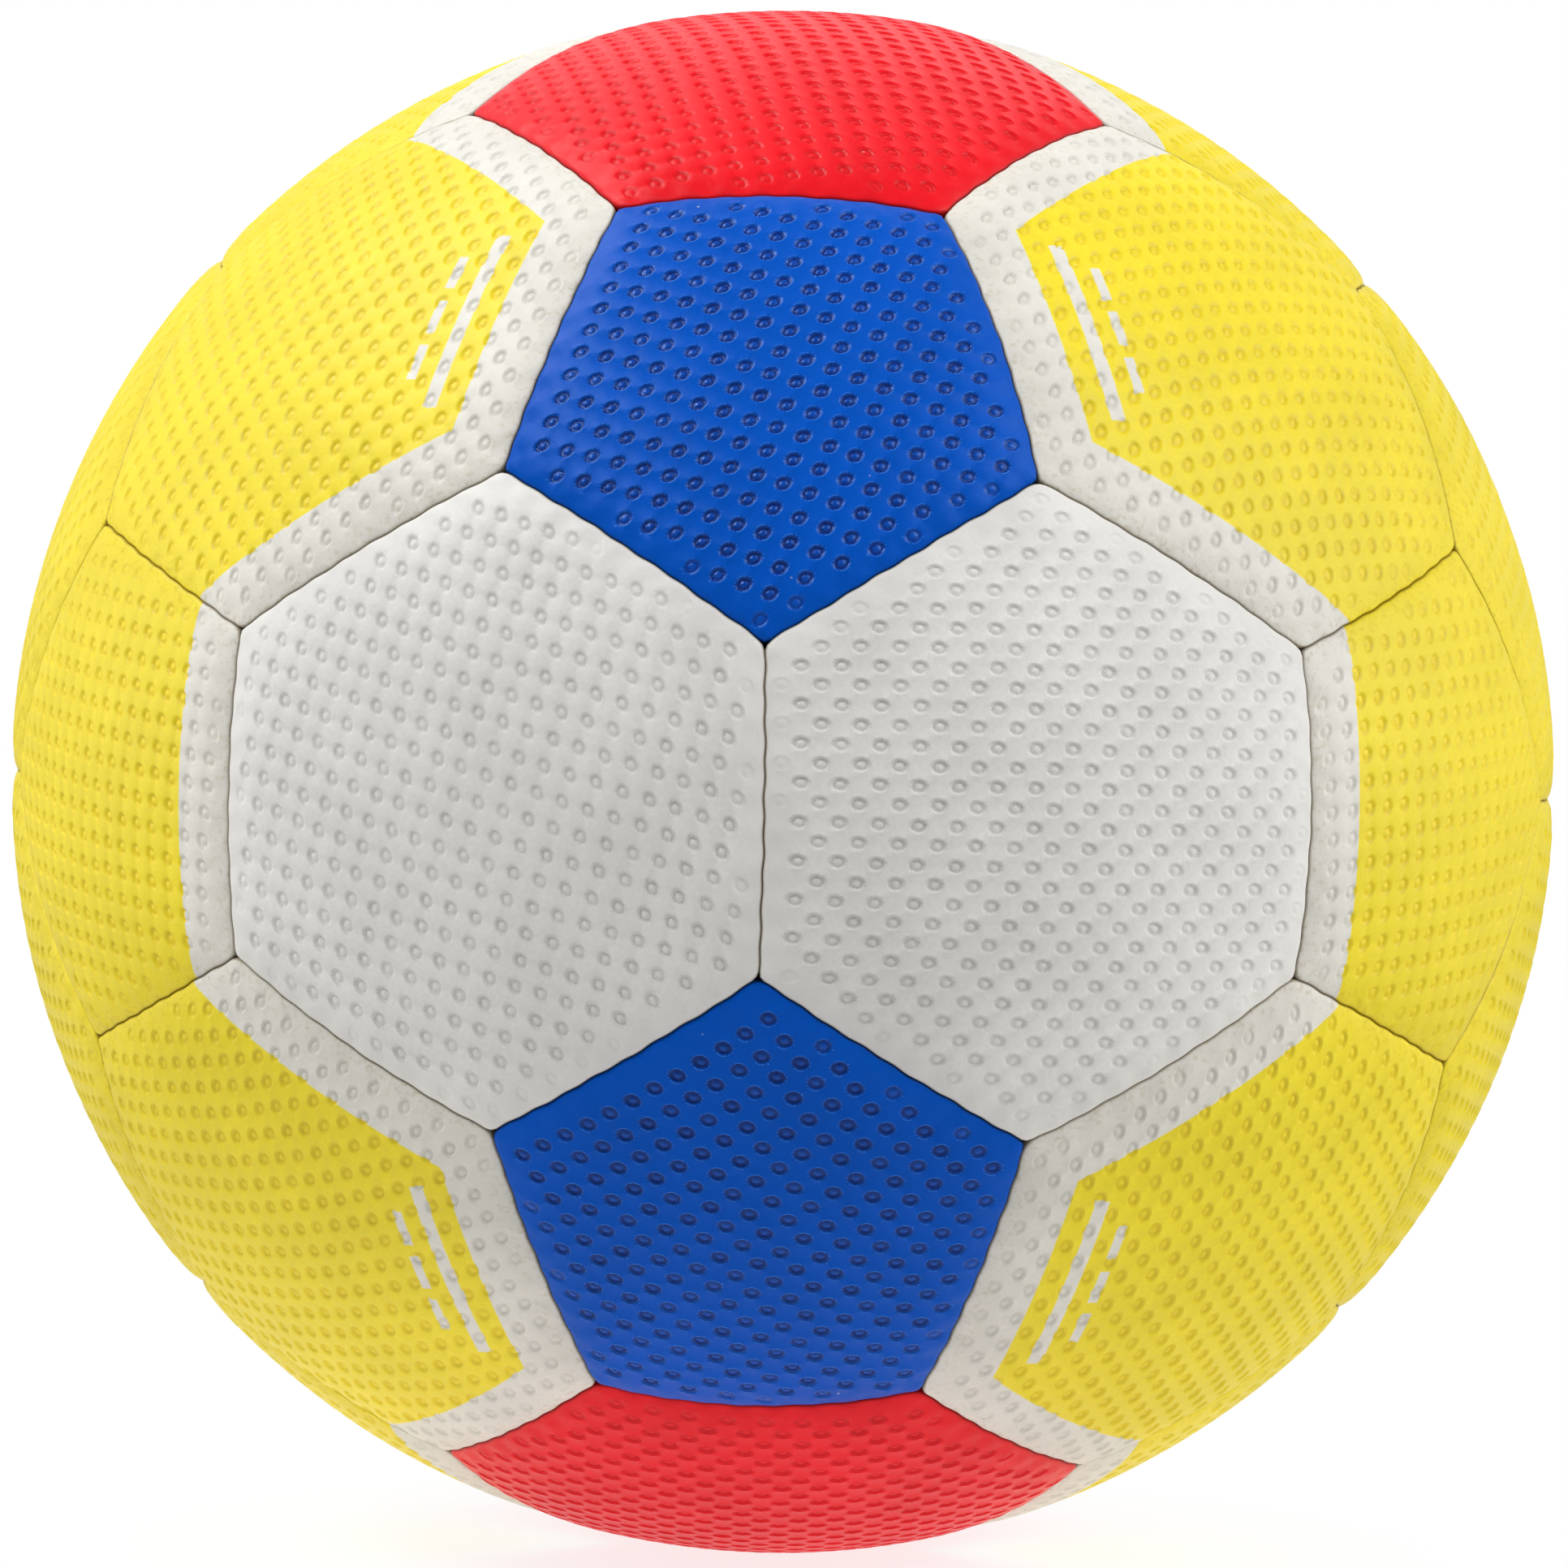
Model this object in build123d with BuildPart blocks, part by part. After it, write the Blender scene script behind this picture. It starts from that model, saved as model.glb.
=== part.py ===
"""Stitched handball: thirty-two folded cover panels over foam, lining, bladder and valve."""
from build123d import *
from itertools import product
from math import atan, cos, degrees, pi, radians, sin, sqrt
import os

os.makedirs("parts", exist_ok=True)

# Ball and the layers of its wall, in millimetres
ball_circumference = 550.0
skin_thickness = 1.2
foam_thickness = 2.8
lining_thickness = 1.2
bladder_wall = 0.9
bladder_clearance = 0.2

# Folded edges of the cover panels and the layers that sit inside them
fold_inner_radius = 1.0
corner_extra = 0.6
layer_side_clearance = 0.3

# Valve core and the guide bore for a pump needle
needle_diameter = 2.0
needle_clearance = 0.1
guide_depth = 7.0
guide_lead_in = 0.5
core_wall = 1.4
core_tip_length = 4.0
core_tip_radius = 0.8
bead_height = 0.6
bead_length = 2.4
bead_rise = 1.6

# Valve housing and its foot, bonded inside the bladder
housing_wall = 1.4
housing_recess = 0.4
housing_rim_radius = 0.5
housing_tail = 6.0
foot_reach = 7.5
foot_thickness = 1.0
press_clearance = 0.02
hole_clearance = 0.25

# The pocket in a cover panel is cut from this share of the flange radius outwards
pocket_floor_share = 0.9

# The cutters of the rolled edges reach out to this share of the radius that they cut
cutter_share = 1.03

# Radii of the layers, from the outside in
ball_radius = ball_circumference / (2 * pi)
foam_radius = ball_radius - skin_thickness
lining_radius = foam_radius - foam_thickness
flange_radius = lining_radius - lining_thickness
bladder_radius = flange_radius - bladder_clearance
bladder_inner_radius = bladder_radius - bladder_wall
foot_inner_radius = bladder_inner_radius - foot_thickness

# Folds, and the insets of the layers from the middle of a seam
fold_radius = fold_inner_radius + skin_thickness
pocket_corner_radius = fold_inner_radius + corner_extra
corner_radius = pocket_corner_radius + skin_thickness
layer_inset = skin_thickness + layer_side_clearance

# Valve radii and heights above the ball's centre
guide_radius = needle_diameter / 2 + needle_clearance
guide_mouth_radius = guide_radius + guide_lead_in
core_radius = guide_radius + core_wall
bore_radius = core_radius + press_clearance
bead_radius = core_radius + bead_height
housing_radius = bead_radius + press_clearance + housing_wall
valve_hole_radius = housing_radius + hole_clearance
foot_radius = housing_radius + foot_reach
valve_top = ball_radius - housing_recess
housing_bottom = bladder_inner_radius - housing_tail
core_bottom = housing_bottom - core_tip_length
guide_bottom = valve_top - guide_depth
bead_bottom = housing_bottom + bead_rise
bead_middle = bead_bottom + bead_length / 2
bead_top = bead_bottom + bead_length

# Directions from the ball's centre to the middles of its panels
golden_share = (1 + sqrt(5)) / 2
hexagon_sides = 6
pentagon_sides = 5


def turned(first, second, third):
    """Directions with the same three coordinates, taken round in turn."""
    return [Vector(first, second, third), Vector(third, first, second), Vector(second, third, first)]


pentagon_centres = []
hexagon_centres = [Vector(*corner) for corner in product((-1, 1), repeat=3)]
for side, end in product((-1, 1), repeat=2):
    pentagon_centres += turned(0, side * golden_share, end)
    hexagon_centres += turned(0, side / golden_share, end * golden_share)
valve_centre = Vector(golden_share, 0, 1 / golden_share)

# Angle between a panel's axis and the middle of any of its edges
hexagon_slope = degrees(atan(1 / golden_share**2))
pentagon_slope = min(map(pentagon_centres[0].get_angle, hexagon_centres)) - hexagon_slope


def panel_plane(centre, neighbours):
    """Plane at the ball's centre that faces out through a panel, with x towards one of its edges."""
    nearest = min(neighbours, key=centre.get_angle)
    across = nearest - centre * (nearest.dot(centre) / centre.dot(centre))
    return Plane(origin=(0, 0, 0), x_dir=across, z_dir=centre)


def place_name(centre):
    """Where a panel sits, with the side of the ball that it faces most named first."""
    words = [(centre.Y, "back", "front"), (centre.X, "right", "left"), (centre.Z, "top", "bottom")]
    words = sorted(words, key=lambda word: round(abs(word[0]), 3), reverse=True)
    return "_".join(ahead if amount > 0 else behind for amount, ahead, behind in words if amount)


def roll_section(plane, radius, inset, roll):
    """Sketch of what a rolled edge takes off: x runs out from the ball's centre, y out of the panel."""
    reach = radius - roll
    bend = (sqrt(reach**2 - (inset + roll) ** 2), -inset - roll)
    dome_end = tuple(length * radius / reach for length in bend)
    beyond = tuple(length * cutter_share for length in dome_end)
    with BuildSketch(plane) as section:
        with BuildLine():
            RadiusArc((bend[0], -inset), dome_end, roll)
            Polyline(dome_end, beyond, (beyond[0], roll), (bend[0], roll), (bend[0], -inset))
        make_face()
    return section.sketch


def wedge(sides, slope, inset, outer_radius, inner_radius, corner, roll):
    """Piece of a hollow sphere shaped like a panel, with rounded corners and a rolled outer edge."""
    tilt = radians(slope)
    turns = [2 * pi * index / sides for index in range(sides)]
    with BuildPart() as piece:
        Sphere(outer_radius, rotation=(0, 90, 0))
        Sphere(inner_radius, rotation=(0, 90, 0), mode=Mode.SUBTRACT)
        for turn in turns:
            outward = Vector(cos(turn) * cos(tilt), sin(turn) * cos(tilt), -sin(tilt))
            split(bisect_by=Plane(origin=outward * -inset, z_dir=outward), keep=Keep.BOTTOM)
        fillet(piece.edges().filter_by(GeomType.LINE), corner)
        for turn in turns if roll else []:
            outward = Vector(cos(turn) * cos(tilt), sin(turn) * cos(tilt), -sin(tilt))
            middle = Vector(cos(turn) * sin(tilt), sin(turn) * sin(tilt), cos(tilt))
            side = Plane(origin=(0, 0, 0), x_dir=middle, z_dir=middle.cross(outward))
            section = roll_section(side, outer_radius, inset, roll)
            revolve(section, axis=Axis((0, 0, 0), outward), mode=Mode.SUBTRACT)
    return piece.part


def cover_panel(sides, slope):
    """Cover skin whose edges fold in to a stitching flange, face to face with the next panel's."""
    with BuildPart() as cover:
        add(wedge(sides, slope, 0, ball_radius, flange_radius, corner_radius, fold_radius))
        pocket_floor = flange_radius * pocket_floor_share
        pocket = wedge(
            sides, slope, skin_thickness, foam_radius, pocket_floor, pocket_corner_radius, fold_inner_radius
        )
        add(pocket, mode=Mode.SUBTRACT)
    return cover.part


def foam_layer(sides, slope):
    """Foam backing that fills a cover panel's pocket under the skin."""
    return wedge(
        sides, slope, layer_inset, foam_radius, lining_radius, pocket_corner_radius, fold_inner_radius
    )


def lining_layer(sides, slope):
    """Textile lining under the foam, flush with the tips of the stitching flanges."""
    return wedge(sides, slope, layer_inset, lining_radius, flange_radius, pocket_corner_radius, 0)


def with_valve_hole(layer, radius):
    """The same layer with a round hole through its middle for the valve."""
    with BuildPart() as holed:
        add(layer)
        with BuildSketch():
            Circle(radius)
        extrude(amount=2 * ball_radius, mode=Mode.SUBTRACT)
    return holed.part


def bladder_shell():
    """Air bladder with the hole that the valve housing stands in."""
    with BuildPart() as shell:
        Sphere(bladder_radius, rotation=(0, 90, 0))
        Sphere(bladder_inner_radius, rotation=(0, 90, 0), mode=Mode.SUBTRACT)
    return with_valve_hole(shell.part, housing_radius + press_clearance)


def housing():
    """Moulded valve housing: a barrel with a bead groove, and a foot that follows the bladder."""
    with BuildPart() as foot:
        Sphere(bladder_inner_radius, rotation=(0, 90, 0))
        Sphere(foot_inner_radius, rotation=(0, 90, 0), mode=Mode.SUBTRACT)
        with BuildSketch():
            Circle(foot_radius)
        extrude(amount=2 * ball_radius, mode=Mode.INTERSECT)
    with BuildPart() as barrel:
        add(foot.part)
        with BuildSketch(Plane.XY.offset(housing_bottom)):
            Circle(housing_radius)
        extrude(amount=valve_top - housing_bottom)
        rim = barrel.edges().filter_by(GeomType.CIRCLE).sort_by(Axis.Z)[-1]
        fillet(rim, housing_rim_radius)
        with BuildSketch(Plane.XZ):
            with BuildLine():
                Polyline(
                    (0, housing_bottom),
                    (bore_radius, housing_bottom),
                    (bore_radius, bead_bottom),
                    (bead_radius + press_clearance, bead_middle),
                    (bore_radius, bead_top),
                    (bore_radius, valve_top),
                    (0, valve_top),
                    close=True,
                )
            make_face()
        revolve(axis=Axis.Z, mode=Mode.SUBTRACT)
    return barrel.part


def core():
    """Valve core: a soft plug with a bead, a closed tip and a guide bore for the needle."""
    with BuildPart() as plug:
        with BuildSketch(Plane.XZ):
            with BuildLine():
                Polyline(
                    (0, core_bottom),
                    (core_tip_radius, core_bottom),
                    (core_radius, housing_bottom),
                    (core_radius, bead_bottom),
                    (bead_radius, bead_middle),
                    (core_radius, bead_top),
                    (core_radius, valve_top),
                    (guide_mouth_radius, valve_top),
                    (guide_radius, valve_top - guide_lead_in),
                    (guide_radius, guide_bottom),
                    (0, guide_bottom),
                    close=True,
                )
            make_face()
        revolve(axis=Axis.Z)
    return plug.part


def save(label, solid, planes, other=None, other_plane=None):
    """Place a solid on one or more planes, name it and write it out."""
    with BuildPart() as piece:
        with Locations(*planes):
            add(solid)
        if other:
            with Locations(other_plane):
                add(other)
    piece.part.label = label
    export_step(piece.part, f"parts/{label}.step")


# Planes of the panels
valve_plane = panel_plane(valve_centre, pentagon_centres)
valve_place = place_name(valve_centre)
hexagon_planes = {place_name(centre): panel_plane(centre, pentagon_centres) for centre in hexagon_centres}
pentagon_planes = {place_name(centre): panel_plane(centre, hexagon_centres) for centre in pentagon_centres}
plain_hexagons = [plane for place, plane in hexagon_planes.items() if place != valve_place]

# Cover panels
hexagon_cover = cover_panel(hexagon_sides, hexagon_slope)
valve_cover = with_valve_hole(hexagon_cover, valve_hole_radius)
for place, plane in hexagon_planes.items():
    save(f"hexagon_{place}", valve_cover if place == valve_place else hexagon_cover, [plane])
pentagon_cover = cover_panel(pentagon_sides, pentagon_slope)
for place, plane in pentagon_planes.items():
    save(f"pentagon_{place}", pentagon_cover, [plane])

# Foam backings
hexagon_foam = foam_layer(hexagon_sides, hexagon_slope)
valve_foam = with_valve_hole(hexagon_foam, valve_hole_radius)
save("hexagon_foam_backings", hexagon_foam, plain_hexagons, valve_foam, valve_plane)
pentagon_foam = foam_layer(pentagon_sides, pentagon_slope)
save("pentagon_foam_backings", pentagon_foam, pentagon_planes.values())

# Textile linings
hexagon_lining = lining_layer(hexagon_sides, hexagon_slope)
valve_lining = with_valve_hole(hexagon_lining, valve_hole_radius)
save("hexagon_linings", hexagon_lining, plain_hexagons, valve_lining, valve_plane)
pentagon_lining = lining_layer(pentagon_sides, pentagon_slope)
save("pentagon_linings", pentagon_lining, pentagon_planes.values())

# Bladder and valve
save("bladder", bladder_shell(), [valve_plane])
save("valve_housing", housing(), [valve_plane])
save("valve_core", core(), [valve_plane])
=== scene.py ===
"""Looks of a stitched, dimpled handball, built around its packed construction model."""
import logging
import math
from dataclasses import dataclass
from enum import Enum

import bpy
import numpy as np
from mathutils import Euler, Matrix, Vector
from mathutils.geometry import delaunay_2d_cdt


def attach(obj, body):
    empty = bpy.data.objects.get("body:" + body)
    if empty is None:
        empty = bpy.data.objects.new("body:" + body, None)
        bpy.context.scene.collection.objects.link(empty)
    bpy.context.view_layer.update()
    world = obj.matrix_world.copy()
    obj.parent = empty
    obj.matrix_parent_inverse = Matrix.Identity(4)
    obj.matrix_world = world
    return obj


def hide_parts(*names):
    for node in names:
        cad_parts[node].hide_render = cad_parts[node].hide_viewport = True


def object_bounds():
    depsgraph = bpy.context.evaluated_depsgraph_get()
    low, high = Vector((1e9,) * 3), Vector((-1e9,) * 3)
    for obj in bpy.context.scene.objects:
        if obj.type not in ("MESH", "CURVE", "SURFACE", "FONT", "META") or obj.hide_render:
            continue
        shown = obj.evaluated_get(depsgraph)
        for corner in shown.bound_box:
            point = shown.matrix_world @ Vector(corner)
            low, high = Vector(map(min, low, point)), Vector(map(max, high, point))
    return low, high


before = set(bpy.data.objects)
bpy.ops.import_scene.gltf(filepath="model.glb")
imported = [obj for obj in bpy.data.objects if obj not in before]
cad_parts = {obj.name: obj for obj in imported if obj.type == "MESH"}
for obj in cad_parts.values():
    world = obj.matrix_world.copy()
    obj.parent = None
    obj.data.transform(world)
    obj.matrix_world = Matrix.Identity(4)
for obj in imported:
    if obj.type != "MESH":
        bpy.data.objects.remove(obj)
CAD_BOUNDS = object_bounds()

LOG = logging.getLogger("handball")
Array = np.ndarray
Colour = tuple[float, float, float, float]
Floats = tuple[float, ...]
Numbers = float | Array
Material = bpy.types.Material
Socket = bpy.types.NodeSocket

GOLDEN = (1 + math.sqrt(5)) / 2
MM = 0.001

# Sizes of the ball and its cover, in millimetres
BALL_RADIUS = 550.0 / (2 * math.pi)
SKIN = 1.2
FOLD = 2.2
GROOVE = 0.8
FLANGE_DEPTH = 5.2
CORNER = 1.35
VALVE_HOLE = 4.77

# How closely a rounded corner follows the two sides beside it
CORNER_POWER = 4.5

# Angle between the axes of a pentagon and a hexagon that share a seam
PENTAGON_TO_HEXAGON = math.radians(37.3773681)

# Panels whose axes are nearer than this share a seam
NEIGHBOUR_COSINE = math.cos(math.radians(43))

# Value of the seam attribute inside the cover, away from every seam
NO_SEAM = 9.0

# What delaunay_2d_cdt keeps (only what its fences enclose), and how near two points may be
KEEP_ENCLOSED = 1
SAME_POINT = 1e-7
POINT_DRIFT = 1e-4

# Shorter lengths count as nothing
TINY = 1e-9

# Flat map for baking: scale of the outer and the inner faces in millimetres, and their middles
OUTER_MAP, OUTER_MIDDLE = 82.0, 0.5
INNER_MAP, INNER_MIDDLE = 640.0, 0.93

# Starts of the random draws
PANEL_SEED = 1000
LATTICE_SEED = 7


class Shape(Enum):
    """The two panel shapes, by their number of sides."""

    HEXAGON = 6
    PENTAGON = 5

    @property
    def slope(self) -> float:
        """Angle between the panel's axis and the middle of an edge, in radians."""
        hexagon = math.atan(1 / GOLDEN**2)
        return hexagon if self is Shape.HEXAGON else PENTAGON_TO_HEXAGON - hexagon


class Livery(Enum):
    """Colour schemes of the panels, each with the name of its material."""

    WHITE = "cover_white"
    BLUE = "cover_blue"
    RED = "cover_red"
    YELLOW = "cover_yellow"
    TRIMMED = "cover_trimmed"
    ONE_BAND = "cover_one_band"
    TWO_BANDS = "cover_two_bands"

    @property
    def slot(self) -> str:
        """Name of the record's material slot."""
        banded = (Livery.TRIMMED, Livery.ONE_BAND, Livery.TWO_BANDS)
        return "cover_banded" if self in banded else self.value


def linear(*parts: int) -> Colour:
    """Display colour to a linear colour with full alpha.

    Args:
        parts: Red, green and blue from 0 to 255.

    Returns:
        Linear red, green, blue and alpha.
    """
    shares = [part / 255 for part in parts]
    shares = [s / 12.92 if s <= 0.04045 else ((s + 0.055) / 1.055) ** 2.4 for s in shares]
    return *shares, 1.0


def added(name: str, data: bpy.types.ID) -> bpy.types.Object:
    """A new object in the scene that holds the data."""
    made = bpy.data.objects.new(name, data)
    bpy.context.scene.collection.objects.link(made)
    return made


def unit(vector: Array) -> Array:
    """The vector at length one."""
    return vector / np.linalg.norm(vector)


def circle(count: int) -> Array:
    """Points of a circle with radius one, as rows of x and y."""
    turn = 2 * math.pi * np.arange(count) / count
    return np.stack([np.cos(turn), np.sin(turn)], -1)


def canonical_sign(vector: Array) -> float:
    """Tell two opposite vectors apart, the same way each time.

    Args:
        vector: Either of them.

    Returns:
        +1 for one and -1 for the other.
    """
    for value in np.round(vector, 4):
        if value:
            return float(np.sign(value))
    return 1.0


def smooth_step(low: float, high: float, value: Array) -> Array:
    """Smooth rise from 0 at low to 1 at high."""
    share = np.clip((value - low) / (high - low), 0, 1)
    return share * share * (3 - 2 * share)


class Graph:
    """Node tree of a material or a world, with short ways to add nodes and maths."""

    def __init__(self, owner: Material | bpy.types.World) -> None:
        """Start an empty node tree in its owner."""
        owner.use_nodes = True
        self.owner, self.tree = owner, owner.node_tree
        self.tree.nodes.clear()

    def node(self, kind: str, inputs: dict | None = None, **settings: object) -> bpy.types.Node:
        """Add a node.

        Args:
            kind: Blender's node type, without ShaderNode in front.
            inputs: Values or output sockets by input name or number.
            settings: The node's own properties.

        Returns:
            The new node.
        """
        made = self.tree.nodes.new(f"ShaderNode{kind}")
        for key, value in settings.items():
            setattr(made, key, value)
        for key, value in (inputs or {}).items():
            if isinstance(value, Socket):
                self.tree.links.new(value, made.inputs[key])
            else:
                made.inputs[key].default_value = value
        return made

    def math(self, operation: str, first: object, second: object = 0.0) -> Socket:
        """One step of arithmetic on numbers or sockets."""
        return self.node("Math", {0: first, 1: second}, operation=operation).outputs[0]

    def ramp(
        self, value: object, low: float, high: float, to_low: float = 0.0, to_high: float = 1.0
    ) -> Socket:
        """Smoothly map a value from one range to another."""
        inputs = {0: value, 1: low, 2: high, 3: to_low, 4: to_high}
        return self.node("MapRange", inputs, interpolation_type="SMOOTHSTEP").outputs[0]

    def mix(self, share: object, first: object, second: object, blend: str = "MIX") -> Socket:
        """Mix two colours."""
        inputs = {0: share, 6: first, 7: second}
        return self.node("Mix", inputs, data_type="RGBA", blend_type=blend).outputs[2]

    def noise(self, where: Socket, scale: float, detail: float = 3.0) -> Socket:
        """Grey noise at a place, from 0 to 1."""
        inputs = {"Vector": where, "Scale": scale, "Detail": detail}
        return self.node("TexNoise", inputs).outputs[0]

    def grey(self, tone: Socket) -> Socket:
        """A grey colour from one number."""
        return self.node("CombineColor", {0: tone, 1: tone, 2: tone}).outputs[0]

    def attribute(self, name: str) -> bpy.types.Node:
        """Node that reads one of the mesh's attributes."""
        return self.node("Attribute", attribute_name=name)

    def finish(self, shader: dict) -> Material:
        """Add the surface shader with its inputs and the output, and return the material."""
        surface = self.node("BsdfPrincipled", shader)
        self.node("OutputMaterial", {0: surface.outputs[0]})
        return self.owner


WHITE_PRINT = linear(231, 228, 219)
YELLOW_PRINT = linear(248, 226, 38)
# Pit colours, multiplied into the pressed dimples as painted shade
PALE_PIT_SHADE = linear(250, 250, 249)
YELLOW_PIT_SHADE = linear(252, 247, 205)
STAIN = linear(196, 184, 140)
SPECK = linear(208, 204, 192)
# Darker colour multiplied into the seam creases: painted shade, with some grime
CREASE_SHADE_AND_GRIME = linear(150, 136, 108)
WHITE = (1.0, 1.0, 1.0, 1.0)


@dataclass(frozen=True)
class Trim:
    """Printed bar and dashes along a panel's first side: inset, width and length in millimetres."""

    bar: Floats = (10.9, 1.7, 23.0)
    dash: Floats = (14.5, 1.2, 4.4)
    half_pitch: float = 3.0
    half_row: float = 9.0


@dataclass(frozen=True)
class CoverFinish:
    """Embossed synthetic leather of one livery, with print measured in millimetres."""

    livery: Livery
    base: Colour
    shape: Shape = Shape.HEXAGON
    band_angles: Floats = ()
    band_width: float = 7.0
    trim: Trim | None = None
    print_softness: float = 0.09
    print_wobble: float = 0.15
    line_grain: float = 0.15
    stain: float = 0.45
    # Pit colour: painted shade multiplied into the pressed dimples
    pit_shade: Colour = PALE_PIT_SHADE
    roughness: float = 0.44
    shine: float = 0.36
    pressed_roughness: float = 0.4
    pressed_shine: float = 0.45
    tint: Colour = WHITE
    # Colour and share of a painted highlight on the raised rims round the dimples
    rim: Colour = WHITE_PRINT
    rim_highlight: float = 0.0
    bump_height: float = 0.00012

    def material(self) -> Material:
        """Build the procedural material."""
        return CoverGraph(self).dress()


class CoverGraph(Graph):
    """Node tree of a cover material, with what it reads from the panel's mesh."""

    def __init__(self, look: CoverFinish) -> None:
        """Read the mesh's attributes and lay the textures that several steps share.

        Args:
            look: The finish to build.
        """
        super().__init__(bpy.data.materials.new(look.livery.value))
        self.look = look
        self.where = self.attribute("panel_co").outputs["Vector"]
        self.seam = self.attribute("seam").outputs["Fac"]
        self.crater = self.attribute("crater").outputs["Fac"]
        self.mottle = self.noise(self.where, 1.6, 5.0)
        waves = {"Vector": self.where, "Scale": 2.3, "Distortion": 1.2, "Detail Scale": 1.5}
        self.lines = self.node("TexWave", waves, bands_direction="DIAGONAL").outputs[1]

    def side_distance(self, angle: float, wobble: Socket) -> Socket:
        """Measure from the seam plane at a side.

        Args:
            angle: Direction of the side, in degrees.
            wobble: Unevenness to add.

        Returns:
            Distance in millimetres.
        """
        turn, tilt = math.radians(angle), self.look.shape.slope
        flat = -math.cos(tilt)
        inward = (math.cos(turn) * flat, math.sin(turn) * flat, math.sin(tilt))
        made = self.node("VectorMath", {0: self.where, 1: inward}, operation="DOT_PRODUCT")
        return self.math("ADD", made.outputs["Value"], wobble)

    def below(self, value: Socket, limit: float) -> Socket:
        """Soft-edged mask, 1 where a value in millimetres is below a limit."""
        soft = self.look.print_softness
        return self.ramp(value, limit - soft, limit + soft, 1.0, 0.0)

    def bar(self, depth: Socket, aside: Socket, size: Floats) -> Socket:
        """Mask of a straight bar.

        Args:
            depth: Distance from the panel's side, in millimetres.
            aside: Place along the bar from its middle, in millimetres.
            size: Inset, width and length of the bar, in millimetres.

        Returns:
            The mask, 1 on the bar.
        """
        inset, width, length = size
        off = self.math("SUBTRACT", depth, inset)
        across = self.below(self.math("ABSOLUTE", off), width / 2)
        ends = self.below(self.math("ABSOLUTE", aside), length / 2)
        return self.math("MULTIPLY", across, ends)

    def print_mask(self) -> Socket | None:
        """Print bands along the sides, and the trim of trimmed panels.

        Returns:
            Mask, 1 on the white print, or None without print.
        """
        look, trim = self.look, self.look.trim
        if not look.band_angles:
            return None
        wobble = self.math("SUBTRACT", self.noise(self.where, 0.9), 0.5)
        wobble = self.math("MULTIPLY", wobble, look.print_wobble)
        depths = [self.side_distance(angle, wobble) for angle in look.band_angles]
        masks = [self.below(depth, look.band_width) for depth in depths]
        if trim:
            depth = self.side_distance(0.0, wobble)
            aside = self.node("SeparateXYZ", {0: self.where}).outputs[1]
            masks.append(self.bar(depth, aside, trim.bar))
            limits = {0: aside, 1: trim.half_pitch, 2: -trim.half_pitch}
            folded = self.node("Math", limits, operation="WRAP").outputs[0]
            within = self.math("LESS_THAN", self.math("ABSOLUTE", aside), trim.half_row)
            masks.append(self.math("MULTIPLY", self.bar(depth, folded, trim.dash), within))
        total = masks[0]
        for mask in masks[1:]:
            total = self.math("MAXIMUM", total, mask)
        return total

    def colour(self) -> Socket:
        """Lay print, cloudy tone, painted dimple shade and rim highlight, stains, specks and
        painted seam shade with grime over each other.

        Returns:
            The colour.
        """
        look = self.look
        colour, pit_shade, mask = look.base, look.pit_shade, self.print_mask()
        if mask is not None:
            colour = self.mix(mask, look.base, WHITE_PRINT)
            pit_shade = self.mix(mask, look.pit_shade, PALE_PIT_SHADE)
        light = self.ramp(self.noise(self.where, 0.07, 4.0), 0.25, 0.75, 0.94, 1.05)
        fine = self.ramp(self.mottle, 0.2, 0.8, 0.96, 1.03)
        ruled = self.ramp(self.lines, 0.0, 1.0, 1 - 0.05 * look.line_grain, 1.0)
        tone = self.math("MULTIPLY", self.math("MULTIPLY", light, fine), ruled)
        colour = self.mix(1.0, colour, self.grey(tone), "MULTIPLY")
        # Painted shade: each pressed dimple is darkened by its pit colour
        colour = self.mix(self.ramp(self.crater, 0.0, 1.0), colour, pit_shade, "MULTIPLY")
        # Painted highlight: the raised rims round the dimples are lightened
        if look.rim_highlight:
            rim_highlight_share = self.ramp(self.crater, -0.11, -0.01, look.rim_highlight, 0.0)
            colour = self.mix(rim_highlight_share, colour, look.rim)
        near = self.ramp(self.seam, 0.3, 4.5, 1.0, 0.0)
        patchy = self.ramp(self.mottle, 0.45, 0.75)
        stain = self.math("MULTIPLY", self.math("MULTIPLY", near, patchy), look.stain)
        colour = self.mix(stain, colour, STAIN, "MULTIPLY")
        cells = self.node("TexVoronoi", {"Vector": self.where, "Scale": 0.26})
        chosen = self.node("SeparateColor", {0: cells.outputs["Color"]}).outputs[0]
        dot = self.ramp(cells.outputs["Distance"], 0.025, 0.05, 0.55, 0.0)
        dot = self.math("MULTIPLY", dot, self.ramp(chosen, 0.7, 0.75))
        colour = self.mix(dot, colour, SPECK)
        # Painted shade, with some grime: darker at the bottom of the seam creases
        crease_shade_and_grime = self.ramp(self.seam, 0.02, 0.3, 0.75, 0.0)
        return self.mix(crease_shade_and_grime, colour, CREASE_SHADE_AND_GRIME, "MULTIPLY")

    def normal(self) -> Socket:
        """Raise fine grain, ruled lines and soft unevenness.

        Returns:
            The bumped normal.
        """
        grain = self.math("MULTIPLY", self.noise(self.where, 5.5, 4.0), 0.7)
        ruled = self.ramp(self.crater, 0.05, 0.4, 0.4 * self.look.line_grain, 0.0)
        height = self.math("ADD", grain, self.math("MULTIPLY", self.lines, ruled))
        uneven = self.math("MULTIPLY", self.noise(self.where, 0.9, 2.0), 0.8)
        inputs = {
            "Strength": self.ramp(self.crater, 0.2, 1.0, 0.28, 0.8),
            "Distance": self.look.bump_height,
            "Height": self.math("ADD", height, uneven),
        }
        return self.node("Bump", inputs).outputs[0]

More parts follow.
